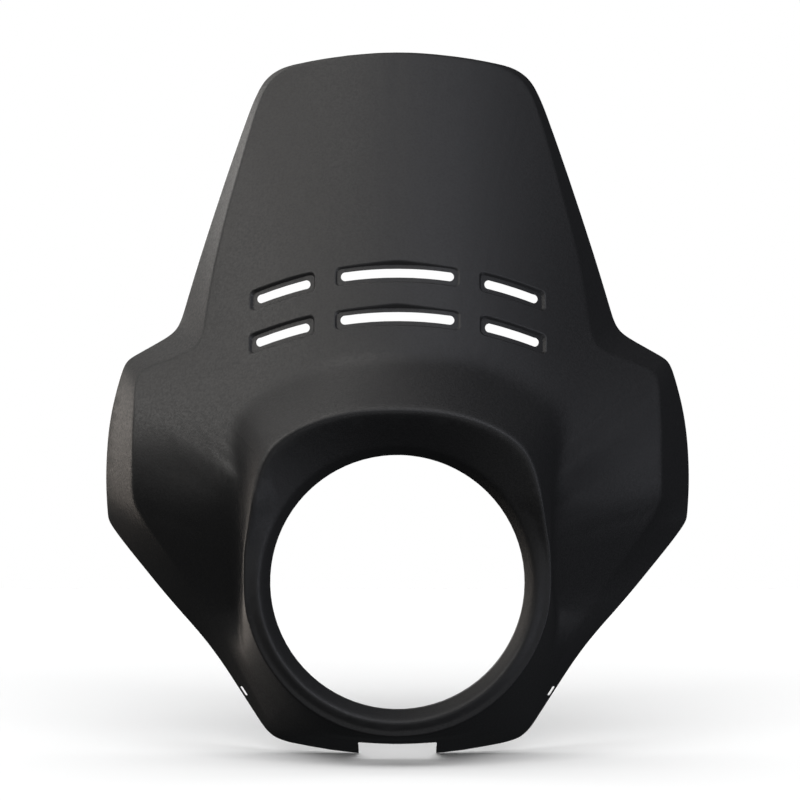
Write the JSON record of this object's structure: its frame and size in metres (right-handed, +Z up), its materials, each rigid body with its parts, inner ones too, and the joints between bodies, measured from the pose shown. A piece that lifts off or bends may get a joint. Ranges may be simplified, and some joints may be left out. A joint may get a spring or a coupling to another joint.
{
  "type": "motorcycle headlight fairing",
  "caption": "One-piece moulded fairing: a leaning screen with slotted air vents over a hooded round lamp opening, with side wings and a turned-back rim.",
  "frame": {"origin": "on the axis of the lamp opening, at the middle of its straight land", "axes": "+X to the right seen from the front, +Y backwards towards the rider, +Z up"},
  "size_m": [0.3972, 0.1911, 0.4765],
  "materials": {
    "matt_plastic": "matt black moulded plastic with a fine grain"
  },
  "bodies": {
    "root": {"fairing_shell": "matt_plastic"}
  },
  "joints": []
}
